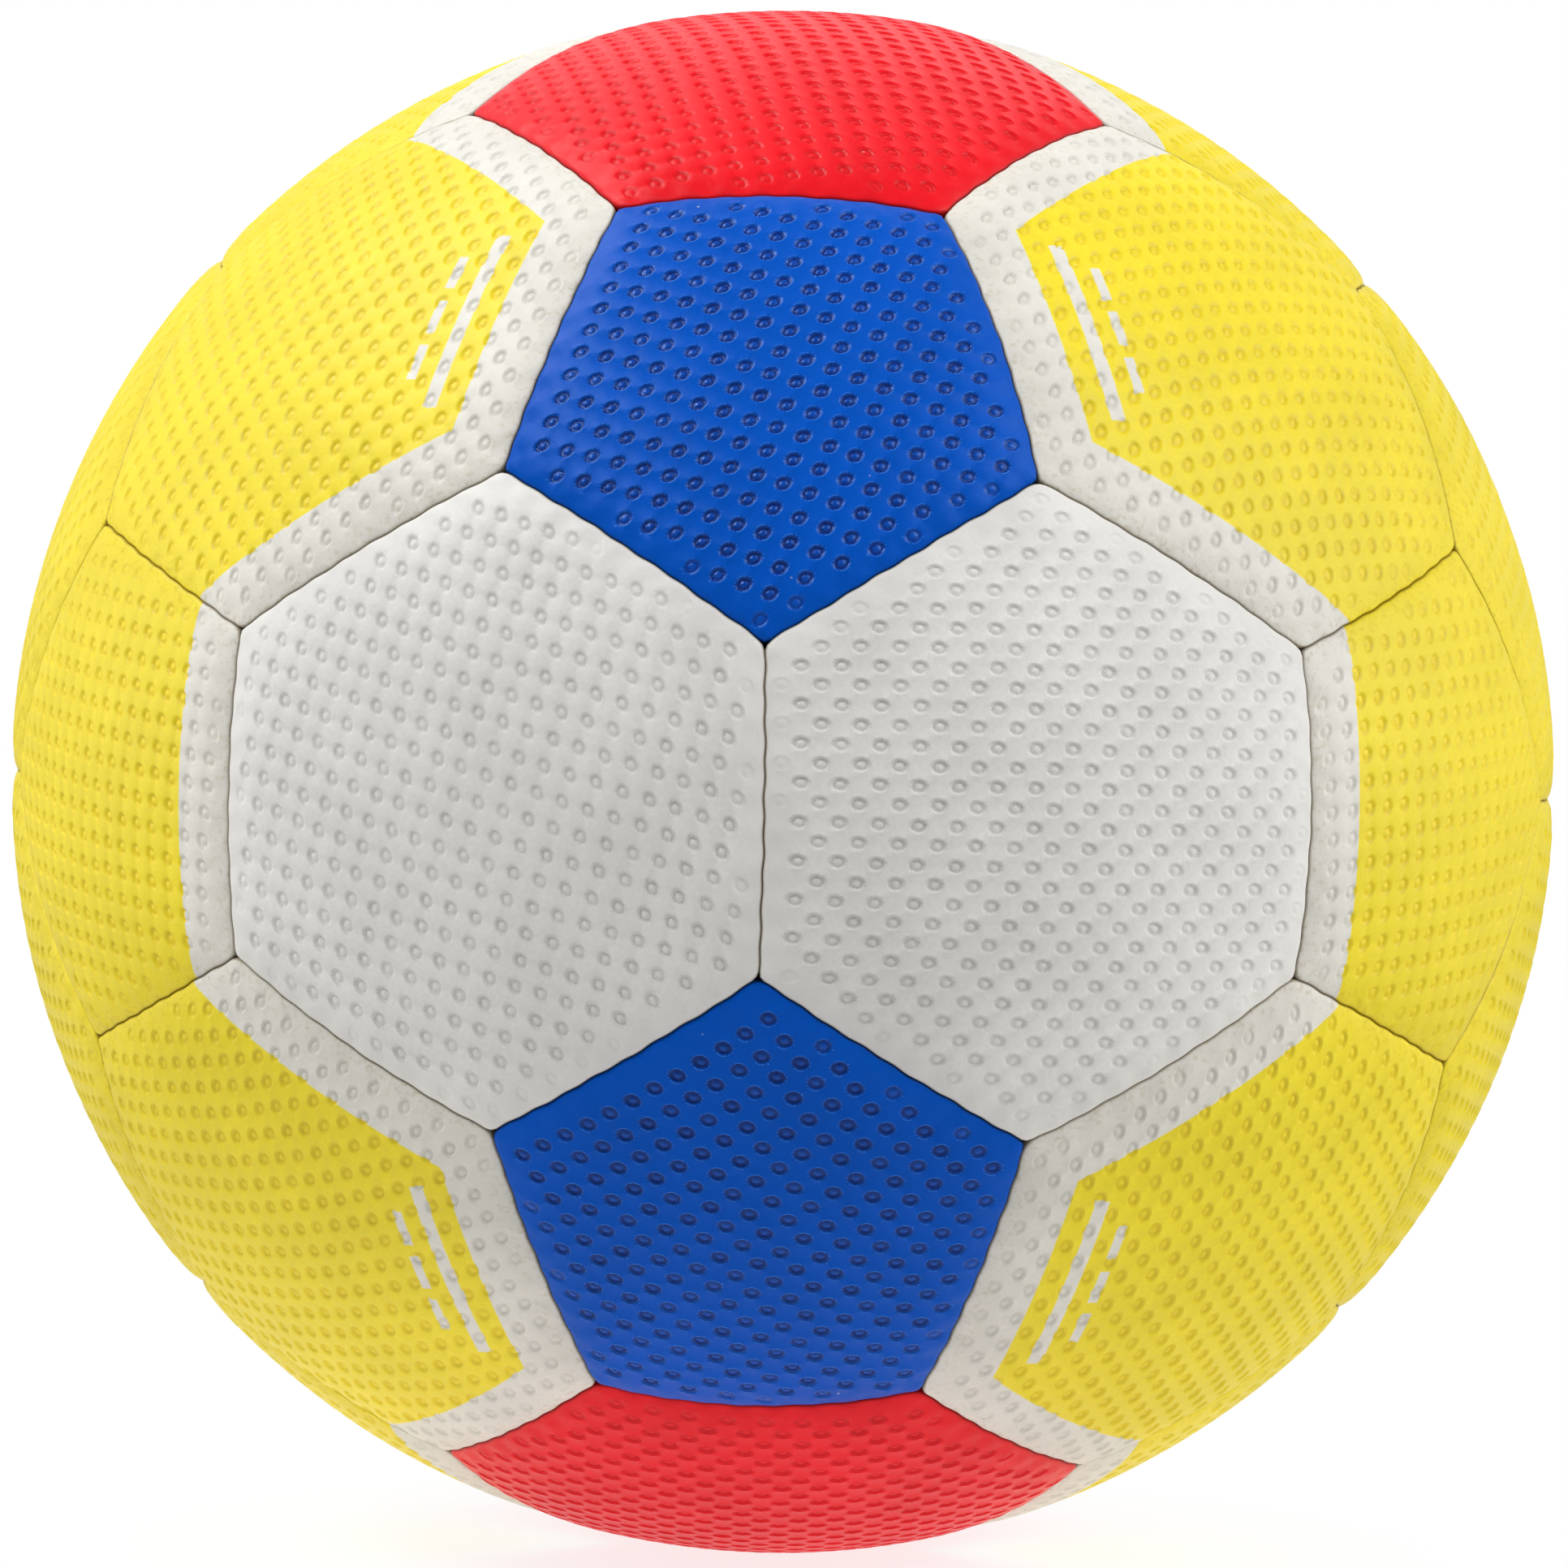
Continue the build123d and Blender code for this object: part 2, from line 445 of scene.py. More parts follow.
    def dress(self) -> Material:
        """Join colour, gloss and bump.

        Returns:
            The finished material.
        """
        look = self.look
        pressed = self.ramp(self.crater, 0.02, 0.45)
        rough = self.ramp(self.mottle, 0.2, 0.8, look.roughness - 0.05, look.roughness + 0.07)
        change = self.math("MULTIPLY", pressed, look.pressed_roughness - look.roughness)
        shader = {
            "Base Color": self.colour(),
            "Roughness": self.math("ADD", rough, change),
            "Specular IOR Level": self.ramp(pressed, 0.0, 1.0, look.shine, look.pressed_shine),
            "Specular Tint": look.tint,
            "Normal": self.normal(),
        }
        return self.finish(shader)


@dataclass(frozen=True)
class PlainFinish:
    """A one-colour finish with cloudy variation, grain and bump."""

    name: str
    base: Colour
    roughness: float
    grain_scale: float
    grain_height: float
    weave: bool = False

    def material(self) -> Material:
        """Build the procedural material.

        Returns:
            The finished material.
        """
        graph = Graph(bpy.data.materials.new(self.name))
        where = graph.node("TexCoord").outputs["Object"]
        grain = graph.noise(where, self.grain_scale, 4.0)
        cloudy = graph.ramp(graph.noise(where, 60.0, 4.0), 0.2, 0.8, 0.85, 1.12)
        tone = graph.math("MULTIPLY", cloudy, graph.ramp(grain, 0.2, 0.8, 0.9, 1.08))
        height = grain
        for direction in ("X", "Y", "Z") if self.weave else ():
            waves = {"Vector": where, "Scale": 420.0}
            wave = graph.node("TexWave", waves, bands_direction=direction).outputs[1]
            height = graph.math("ADD", height, graph.math("MULTIPLY", wave, 0.6))
        bump = {"Strength": 0.4, "Distance": self.grain_height, "Height": height}
        shader = {
            "Base Color": graph.mix(1.0, self.base, graph.grey(tone), "MULTIPLY"),
            "Roughness": graph.ramp(grain, 0.2, 0.8, self.roughness - 0.06, self.roughness + 0.06),
            "Normal": graph.node("Bump", bump).outputs[0],
        }
        return graph.finish(shader)


COVER_FINISHES = (
    CoverFinish(
        Livery.WHITE, linear(235, 233, 229), stain=0.12, shine=0.3, pressed_shine=0.3,
        pressed_roughness=0.44,
    ),
    CoverFinish(
        Livery.BLUE, linear(4, 86, 198), roughness=0.33, shine=0.18, line_grain=0.5, stain=0.2,
        pressed_roughness=0.26, pressed_shine=0.75, tint=linear(150, 190, 255),
        pit_shade=linear(132, 142, 172), rim=linear(84, 146, 236), rim_highlight=0.55,
    ),
    CoverFinish(
        Livery.RED, linear(242, 20, 34), roughness=0.34, shine=0.18, stain=0.2,
        pressed_roughness=0.34, pressed_shine=0.25, pit_shade=linear(238, 220, 220),
    ),
    CoverFinish(Livery.YELLOW, YELLOW_PRINT, pit_shade=YELLOW_PIT_SHADE),
    CoverFinish(
        Livery.TRIMMED, YELLOW_PRINT, band_angles=(-60.0, 0.0, 60.0), trim=Trim(), pit_shade=YELLOW_PIT_SHADE
    ),
    CoverFinish(Livery.ONE_BAND, YELLOW_PRINT, Shape.PENTAGON, (0.0,), pit_shade=YELLOW_PIT_SHADE),
    CoverFinish(Livery.TWO_BANDS, YELLOW_PRINT, Shape.PENTAGON, (-36.0, 36.0), pit_shade=YELLOW_PIT_SHADE),
)
BACKING = PlainFinish("cover_backing", linear(206, 200, 186), 0.85, 900.0, 0.0002, weave=True)


@dataclass(frozen=True)
class Stitching:
    """How the seams pull at the panel edges, in millimetres.

    Each of the waves has its share, and how far its pitch and its start are stretched.
    """

    pitch: float = 3.95
    wave: float = 0.1
    waves: tuple[Floats, ...] = ((0.6, 1.0, 1.0), (0.4, 2.63, 1.7))
    pucker: float = 0.2
    pucker_reach: float = 1.7
    bow: float = 0.4
    slack_bow: float = 1.0
    slack_seam: Floats = (0.0, -0.6667, -0.7454)
    slack_cosine: float = 0.99
    half_seam: float = 17.8
    scatter: Floats = (12.9898, 78.233, 37.719)
    scatter_gain: float = 4375.85

    def phases(self, middles: Array) -> Array:
        """Where the waves of each seam start, from the direction of its middle."""
        scattered = np.sin(middles @ np.array(self.scatter)) * self.scatter_gain
        return np.mod(scattered, 1.0) * 2 * math.pi

    def bows(self, middles: Array) -> Array:
        """How far each seam's middle is pulled off its plane."""
        slack = middles @ np.array(self.slack_seam) > self.slack_cosine
        return np.where(slack, self.slack_bow, self.bow * np.sin(3 * self.phases(middles)))

    def bowed(self, run: Array) -> Array:
        """Share of the bow at a place along a seam."""
        return np.maximum(1 - (run / self.half_seam) ** 2, 0)


@dataclass(frozen=True)
class Relief:
    """How a panel's skin rolls, bulges and sways, in millimetres."""

    roll_power: float = 2.5
    pillow: float = 0.26
    pillow_reach: float = 6.5
    pucker_fade: float = 1.2
    sway: float = 0.05
    sway_rate: float = 11.0
    sway_ways: tuple[Floats, Floats] = ((1.0, 0.7, -0.4), (-0.5, 1.1, 0.8))


@dataclass(frozen=True)
class Layout:
    """Where the rings and points of a panel's mesh lie, in millimetres from its outline."""

    field_edge: float = 0.3
    rims: Floats = (0.5, 0.8, 1.15, 1.6, 2.1)
    roll: Floats = (0.19, 0.1, 0.04, 0.012)
    flange: float = 0.03
    flange_waist: float = 0.62
    pocket: tuple[Floats, ...] = (
        (SKIN, FLANGE_DEPTH), (SKIN, FOLD), (SKIN + 0.3, 1.5), (FOLD, SKIN)
    )
    dome_shares: Floats = (0.7, 0.4)
    hole_lip: float = 0.7
    hole_wall: tuple[Floats, ...] = ((0.42, 0.06), (0.18, 0.2), (0.04, 0.42), (0.0, 0.7))
    reach: float = 36.0
    search_reach: float = 0.46 * BALL_RADIUS
    search_steps: int = 32
    points_per_side: int = 60
    dimple_rooms: Floats = (1.62, 2.1)
    between_rooms: Floats = (2.5, 1.1)
    rim_room: float = 1.42


@dataclass(frozen=True)
class Dimples:
    """Embossed pattern of a panel: a square lattice of small craters, in millimetres.

    A ring of a crater has its share of the radius, its number of points and its share of the depth.
    """

    angle: float
    depth: float
    edge_strength: float
    pitch: float = 2.95
    radius: float = 0.88
    jitter: float = 0.035
    spread: Floats = (0.85, 1.1)
    edge_rise: Floats = (1.7, 3.4)
    rings: tuple[tuple[float, int, float], ...] = (
        (0.38, 6, 0.5), (0.62, 9, 1.0), (0.82, 13, 0.88), (1.03, 15, -0.13), (1.2, 15, 0.0)
    )
    middle_floor: float = 0.45
    long_skew: float = 0.12
    square_skew: float = 0.04

    def lattice(self, reach: float, offset: Array, step: Floats) -> Array:
        """Points of the lattice within reach of the panel's middle.

        Args:
            reach: Half the width to cover.
            offset: Where the lattice starts.
            step: Extra shift in steps of the lattice.

        Returns:
            Points as rows of x and y.
        """
        count = int(reach / self.pitch) + 2
        grid = np.arange(-count, count + 1)
        points = np.stack(np.meshgrid(grid, grid), -1).reshape(-1, 2) + np.array(step)
        turn = math.radians(self.angle)
        across, along = math.cos(turn), math.sin(turn)
        return (points * self.pitch) @ np.array([[across, along], [-along, across]]) + offset

    def crater(self) -> tuple[Array, Array]:
        """Lay out one crater round its middle.

        Returns:
            Points as rows of x and y, and how far down each lies.
        """
        points, floors = [np.zeros((1, 2))], [np.array([self.middle_floor])]
        lean = math.radians(self.angle + 45)
        for index, (share, count, floor) in enumerate(self.rings):
            turn = 2 * math.pi * (np.arange(count) + 0.5 * (index % 2)) / count
            skew = 1 + self.long_skew * np.cos(2 * turn) + self.square_skew * np.cos(4 * turn)
            ring = np.stack([np.cos(turn + lean), np.sin(turn + lean)], -1)
            points.append(ring * (self.radius * share * skew)[:, None])
            floors.append(np.full(count, floor))
        return np.concatenate(points), np.concatenate(floors)


class Draft:
    """Points and faces of a panel's mesh while they are collected."""

    def __init__(self, panel: "Panel") -> None:
        """Start with nothing.

        Args:
            panel: The panel that the mesh is for.
        """
        self.panel = panel
        self.points, self.flats, self.seams, self.craters = [], [], [], []
        self.polygons, self.inner = [], []
        self.total = 0

    def add(self, flat: Array, depth: Numbers, seam: Numbers, crater: Numbers = 0.0) -> int:
        """Add points.

        Args:
            flat: Places on the unrolled panel, in millimetres.
            depth: Depths below the ball's sphere, in millimetres.
            seam: Distances to the seam, in millimetres.
            crater: How deep each point is pressed, from 0 to 1.

        Returns:
            Number of the first point.
        """
        first, size = self.total, len(flat)
        reach = BALL_RADIUS - np.broadcast_to(depth, size)
        self.points.append(self.panel.directions(flat) * reach[:, None])
        self.flats.append(flat)
        self.seams.append(np.broadcast_to(seam, size))
        self.craters.append(np.broadcast_to(crater, size))
        self.total += size
        return first

    def face(self, corners: list[int], inner: bool) -> None:
        """Add a face that lies inside or outside the cover."""
        self.polygons.append(corners)
        self.inner.append(inner)

    def strip(self, first: int, second: int, inner: bool) -> int:
        """Join two rings with faces.

        Args:
            first: Number of a ring's first point.
            second: The same of the other ring.
            inner: Whether the faces lie inside the cover.

        Returns:
            The second number, to go on from.
        """
        size = self.panel.rings
        for i in range(size):
            j = (i + 1) % size
            self.face([first + i, second + i, second + j, first + j], inner)
        return second

    def mesh(self) -> bpy.types.Mesh:
        """Turn what was collected into a mesh in metres.

        Returns:
            The mesh, with attributes and flat map.
        """
        places, flat = np.concatenate(self.points), np.concatenate(self.flats)
        mesh = bpy.data.meshes.new(self.panel.name)
        mesh.from_pydata((places * MM).tolist(), [], self.polygons)
        mesh.polygons.foreach_set("use_smooth", [True] * len(self.polygons))
        mesh.polygons.foreach_set("material_index", [int(flag) for flag in self.inner])
        local = (places @ self.panel.axes.T).astype(np.float32).ravel()
        mesh.attributes.new("panel_co", "FLOAT_VECTOR", "POINT").data.foreach_set("vector", local)
        for name, values in (("seam", self.seams), ("crater", self.craters)):
            data = np.concatenate(values).astype(np.float32)
            mesh.attributes.new(name, "FLOAT", "POINT").data.foreach_set("value", data)
        corners = np.concatenate(self.polygons)
        hidden = np.repeat(self.inner, [len(polygon) for polygon in self.polygons])
        spread = flat[corners] / OUTER_MAP + OUTER_MIDDLE
        spread[hidden] = flat[corners][hidden] / INNER_MAP + INNER_MIDDLE
        layer = mesh.uv_layers.new(name="OFBake")
        layer.data.foreach_set("uv", spread.astype(np.float32).ravel())
        mesh.validate()
        return mesh


@dataclass
class Panel:
    """One cover panel: embossed skin, rolled edges, flange and pocket, as one closed mesh."""

    name: str
    centre: Array
    shape: Shape
    livery: Livery
    dimples: Dimples
    toward: Array
    first_side: float
    hole: float
    seed: int
    relief: Relief
    layout: Layout = Layout()
    stitching: Stitching = Stitching()

    def __post_init__(self) -> None:
        """Work out the panel's axes and its sides."""
        self.axis = unit(self.centre)
        across = unit(self.toward - self.axis * (self.toward @ self.axis))
        self.axes = np.stack([across, np.cross(self.axis, across), self.axis])
        count, tilt = self.shape.value, self.shape.slope
        rise, run = math.sin(tilt), math.cos(tilt)
        start = math.radians(self.first_side)
        turns = [start + 2 * math.pi * index / count for index in range(count)]
        outward = [(math.cos(turn) * run, math.sin(turn) * run, -rise) for turn in turns]
        middle = [(math.cos(turn) * rise, math.sin(turn) * rise, run) for turn in turns]
        self.outward, middle = np.array(outward) @ self.axes, np.array(middle) @ self.axes
        along = np.cross(self.outward, middle)
        self.along = along * np.array([canonical_sign(row) for row in along])[:, None]
        self.sides = np.array([canonical_sign(row) for row in self.outward])
        self.phases, self.bows = self.stitching.phases(middle), self.stitching.bows(middle)
        self.rings = self.layout.points_per_side * count

    def directions(self, flat: Array) -> Array:
        """Roll points of the unrolled panel on to the ball.

        Args:
            flat: Points in millimetres, as rows of x and y.

        Returns:
            Unit directions from the ball's centre.
        """
        reach = np.linalg.norm(flat, axis=1)
        angle = reach / BALL_RADIUS
        share = np.where(reach > TINY, np.sin(angle) / np.maximum(reach, TINY), 1 / BALL_RADIUS)
        return np.column_stack([flat * share[:, None], np.cos(angle)]) @ self.axes

    def seam_distance(self, ways: Array, bowed: bool = True) -> tuple[Array, Array]:
        """Distance to the panel's wavy outline, and the pull of the nearest stitches.

        Args:
            ways: Unit directions from the ball's centre.
            bowed: Whether the outline bows, as it does outside, or keeps to its planes.

        Returns:
            Distance in millimetres, with rounded corners, and pucker depth in millimetres.
        """
        stitch = self.stitching
        run = BALL_RADIUS * np.arcsin(np.clip(ways @ self.along.T, -1, 1))
        wave = 0.0
        for share, stretch, start in stitch.waves:
            turn = run * 2 * math.pi / (stitch.pitch * stretch) + self.phases * start
            wave = wave + np.sin(turn) * share
        shift = wave * stitch.wave + (self.bows * stitch.bowed(run) if bowed else 0.0)
        apart = -BALL_RADIUS * (ways @ self.outward.T) + self.sides * shift
        near = apart.min(axis=1)
        lack = np.maximum(CORNER - apart, 0)
        rounded = CORNER - (lack**CORNER_POWER).sum(axis=1) ** (1 / CORNER_POWER)
        distance = np.where(near < CORNER, rounded, near)
        pull = 0.5 + 0.5 * np.cos(run * 2 * math.pi / stitch.pitch)
        fall = np.exp(-np.maximum(apart, 0) ** 2 / (2 * stitch.pucker_reach**2))
        return distance, (stitch.pucker * pull * fall).sum(axis=1)

    def dome_depth(self, ways: Array) -> tuple[Array, Array]:
        """Measure the smooth skin, without dimples.

        Args:
            ways: Unit directions from the ball's centre.

        Returns:
            Depth below the ball's sphere and distance to the seam, in millimetres.
        """
        relief = self.relief
        distance, pucker = self.seam_distance(ways)
        lack = np.clip(FOLD - distance, 0, FOLD)
        roll = 1 - (1 - (lack / FOLD) ** relief.roll_power) ** (1 / relief.roll_power)
        pillow = relief.pillow * (1 - smooth_step(0.0, relief.pillow_reach, distance)) ** 2
        first, second = (ways * relief.sway_rate @ np.array(way) for way in relief.sway_ways)
        sway = np.sin(first + self.seed) * np.sin(second)
        pucker = pucker * smooth_step(0.0, relief.pucker_fade, distance)
        return GROOVE * roll + pucker + pillow - relief.sway * sway, distance

    def outline(self, distance: float, bowed: bool = True) -> Array:
        """Follow the panel's outline at one distance inside it.

        Args:
            distance: Distance in millimetres.
            bowed: Whether the outline bows or keeps to its planes.

        Returns:
            Points of the unrolled panel, all the way round.
        """
        ring = circle(self.rings)
        low, high = np.zeros(self.rings), np.full(self.rings, self.layout.search_reach)
        for _ in range(self.layout.search_steps):
            middle = (low + high) / 2
            ways = self.directions(ring * middle[:, None])
            inside = self.seam_distance(ways, bowed)[0] > distance
            low, high = np.where(inside, middle, low), np.where(inside, high, middle)
        return ring * low[:, None]

    def roomy(self, points: Array, room: float, hole_room: float) -> tuple[Array, Array]:
        """Choose points that have room, in millimetres.

        Args:
            points: Points of the unrolled panel.
            room: Least distance to the seam.
            hole_room: Least distance to a hole.

        Returns:
            The chosen points and their distances to the seam.
        """
        distance = self.seam_distance(self.directions(points))[0]
        keep = distance > room
        if self.hole:
            keep &= np.linalg.norm(points, axis=1) > self.hole + hole_room
        return points[keep], distance[keep]

    def embossed(self) -> tuple[Array, Array]:
        """Lay out the embossed field.

        Returns:
            Points of the unrolled panel and how deep each is pressed, from 0 to 1.
        """
        rng = np.random.default_rng(PANEL_SEED + self.seed)
        dimples, layout = self.dimples, self.layout
        offset = rng.uniform(-1, 1, 2) * dimples.pitch / 2
        centres = dimples.lattice(layout.reach, offset, (0.0, 0.0))
        centres = centres + rng.normal(0, dimples.jitter, centres.shape)
        centres, room = self.roomy(centres, *layout.dimple_rooms)
        rise = smooth_step(*dimples.edge_rise, room)
        strength = dimples.edge_strength + (1 - dimples.edge_strength) * rise
        strength = strength * rng.uniform(*dimples.spread, len(centres))
        ring, floors = dimples.crater()
        points = (centres[:, None, :] + ring[None, :, :]).reshape(-1, 2)
        depths = (strength[:, None] * floors[None, :]).reshape(-1)
        steps = ((0.5, 0.5), (0.5, 0.0), (0.0, 0.5))
        between = np.concatenate([dimples.lattice(layout.reach, offset, step) for step in steps])
        between, _ = self.roomy(between, *layout.between_rooms)
        rims = np.concatenate([self.outline(inset) for inset in layout.rims])
        apart = np.linalg.norm(rims[:, None, :] - centres[None, :, :], axis=2).min(axis=1)
        between = np.concatenate([between, rims[apart > layout.rim_room]])
        return np.concatenate([points, between]), np.concatenate([depths, np.zeros(len(between))])

    def triangles(self, flat: Array, loops: int) -> Array:
        """Join the embossed field into triangles.

        Args:
            flat: Points on the unrolled panel, with those of the loops first.
            loops: Number of closed loops: the border, and the rim of a hole.

        Returns:
            Point numbers of the triangles between the loops.
        """
        count = self.rings
        starts = [loop * count for loop in range(loops)]
        fences = [(start + i, start + (i + 1) % count) for start in starts for i in range(count)]
        points = [Vector(point) for point in flat]
        result = delaunay_2d_cdt(points, fences, [], KEEP_ENCLOSED, SAME_POINT)
        kept = np.array([tuple(point) for point in result[0]])
        if len(kept) != len(flat) or np.abs(kept - flat).max() > POINT_DRIFT:
            raise RuntimeError(f"{self.name}: the embossed field was not kept as it was laid out")
        faces = np.array([face for face in result[2] if len(face) == 3])
        if self.hole:
            on_rim = (faces >= count) & (faces < 2 * count)
            faces = faces[~on_rim.all(axis=1)]
        return faces

    def mesh(self) -> bpy.types.Mesh:
        """Build the panel from its embossed field inwards.

        Returns:
            The closed mesh.
        """
        layout, count, draft = self.layout, self.rings, Draft(self)
        ring = circle(count)
        loops = [self.outline(layout.field_edge)]
        if self.hole:
            loops.append(ring * (self.hole + layout.hole_lip))
        points, pressed = self.embossed()
        flat = np.concatenate([*loops, points])
        pressed = np.concatenate([np.zeros(len(loops) * count), pressed])
        depth, distance = self.dome_depth(self.directions(flat))
        last = draft.add(flat, depth + pressed * self.dimples.depth, distance, pressed)
        for triangle in self.triangles(flat, len(loops)):
            draft.face([int(corner) for corner in triangle], False)
        for inset in layout.roll:
            place = self.outline(inset)
            rolled = draft.add(place, *self.dome_depth(self.directions(place)))
            last = draft.strip(last, rolled, False)
        place = self.outline(layout.flange, bowed=False)
        for level in (FLANGE_DEPTH * layout.flange_waist, FLANGE_DEPTH):
            last = draft.strip(last, draft.add(place, level, 0.0), False)
        for inset, level in layout.pocket:
            place = self.outline(inset, bowed=False)
            last = draft.strip(last, draft.add(place, level, NO_SEAM), True)
        for share in layout.dome_shares:
            last = draft.strip(last, draft.add(place * share, SKIN, NO_SEAM), True)
        if self.hole:
            inner_rim = draft.strip(last, draft.add(ring * self.hole, SKIN, NO_SEAM), True)
            last = count
            for reach, level in layout.hole_wall:
                wall = draft.add(ring * (self.hole + reach), level, layout.field_edge + reach)
                draft.strip(wall, last, False)
                last = wall
            draft.strip(inner_rim, last, False)
        else:
            middle = draft.add(np.zeros((1, 2)), SKIN, NO_SEAM)
            for i in range(count):
                draft.face([last + i, middle, last + (i + 1) % count], True)
        return draft.mesh()

    def build(
        self, materials: dict[Livery, Material], backing: Material
    ) -> bpy.types.Object:
        """Make the piece, dress it and put it in place of its construction node.

        Args:
            materials: Materials of the liveries.
            backing: Material of the inner faces.

        Returns:
            The piece.
        """
        piece = added(f"{self.name}_skin", self.mesh())
        piece.data.materials.append(materials[self.livery])
        piece.data.materials.append(backing)
        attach(piece, "root")
        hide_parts(self.name)
        return piece


def place_name(centre: Array) -> str:
    """Where a panel sits, with the side of the ball that it faces most named first."""
    words = zip(centre[[1, 0, 2]], ("back", "right", "top"), ("front", "left", "bottom"))
    words = sorted(words, key=lambda word: round(abs(word[0]), 3), reverse=True)
    return "_".join(ahead if amount > 0 else behind for amount, ahead, behind in words if amount)


# Angles of the dimples' lattices in degrees, as far as the photograph shows them
LATTICE_ANGLES = {
    "pentagon_front_top": 71.0,
    "pentagon_front_bottom": 35.0,
    "hexagon_top_front": 13.0,
    "hexagon_bottom_front": 43.0,
    "hexagon_front_left_top": 42.0,
    "hexagon_front_right_top": 13.0,
    "hexagon_front_left_bottom": 15.0,
    "hexagon_front_right_bottom": 44.0,
    "pentagon_left_front": 84.0,
    "pentagon_right_front": 4.0,
}


@dataclass
class Cover:
    """All thirty-two panels of the ball."""

    valve_at: str = "hexagon_right_top"
    white_angle: float = 14.0
    white_edge_strength: float = 0.25
    edge_strength: float = 0.6
    blue_depth: float = 0.34
    depth: float = 0.27
    white_relief: Relief = Relief(roll_power=3.0)
    relief: Relief = Relief()

    @staticmethod
    def turned(first: float, second: float, third: float) -> list[Array]:
        """Directions with the same three coordinates, taken round in turn."""
        rows = ((first, second, third), (third, first, second), (second, third, first))
        return [np.array(row, float) for row in rows]

    def centres(self) -> list[tuple[Shape, Array]]:
        """Find every panel.

        Returns:
            Shape and direction of each.
        """
        signs = (-1, 1)
        corners = [np.array((x, y, z), float) for x in signs for y in signs for z in signs]
        found = [(Shape.HEXAGON, corner) for corner in corners]
        for side in signs:
            for end in signs:
                found += [(Shape.PENTAGON, c) for c in self.turned(0, side * GOLDEN, end)]
                found += [(Shape.HEXAGON, c) for c in self.turned(0, side / GOLDEN, end * GOLDEN)]
        return found

    @staticmethod
    def scheme(shape: Shape, centre: Array) -> tuple[Livery, Array, float]:
        """Choose how a panel looks.

        Args:
            shape: Its shape.
            centre: Its direction.

        Returns:
            Livery, the way its pattern faces and the angle of its first side.
        """
        x, y, z = (float(np.sign(round(value, 4))) for value in centre)
        if shape is Shape.PENTAGON:
            if not x:
                return Livery.BLUE, np.array((0, y / GOLDEN, z * GOLDEN)), 0.0
            if not z:
                return Livery.ONE_BAND, np.array((x / GOLDEN, y * GOLDEN, 0)), 0.0
            return Livery.TWO_BANDS, np.array((0, 0, z)), 36.0
        if x and y and z:
            return Livery.TRIMMED, np.array((0, y * GOLDEN, z)), 0.0
        if not z:
            return Livery.WHITE, np.array((0, y * GOLDEN, 1.0)), 0.0
        if not x:
            return Livery.RED, np.array((0, y * GOLDEN, z)), 0.0
        return Livery.YELLOW, np.array((x * GOLDEN, 1.0, 0)), 0.0

    def build(self) -> None:
        """Build and dress every panel."""
        materials = {finish.livery: finish.material() for finish in COVER_FINISHES}
        backing = BACKING.material()
        rng = np.random.default_rng(LATTICE_SEED)
        for seed, (shape, centre) in enumerate(self.centres()):
            name = f"{shape.name.lower()}_{place_name(centre)}"
            livery, toward, first = self.scheme(shape, centre)
            white = livery is Livery.WHITE
            angle = float(rng.uniform(0, 90))
            dimples = Dimples(
                angle=self.white_angle if white else LATTICE_ANGLES.get(name, angle),
                depth=self.blue_depth if livery is Livery.BLUE else self.depth,
                edge_strength=self.white_edge_strength if white else self.edge_strength,
            )
            panel = Panel(
                name, centre, shape, livery, dimples, toward, first_side=first, seed=seed,
                hole=VALVE_HOLE if name == self.valve_at else 0.0,
                relief=self.white_relief if white else self.relief,
            )
            piece = panel.build(materials, backing)
            LOG.info("built %s with %d faces", name, len(piece.data.polygons))


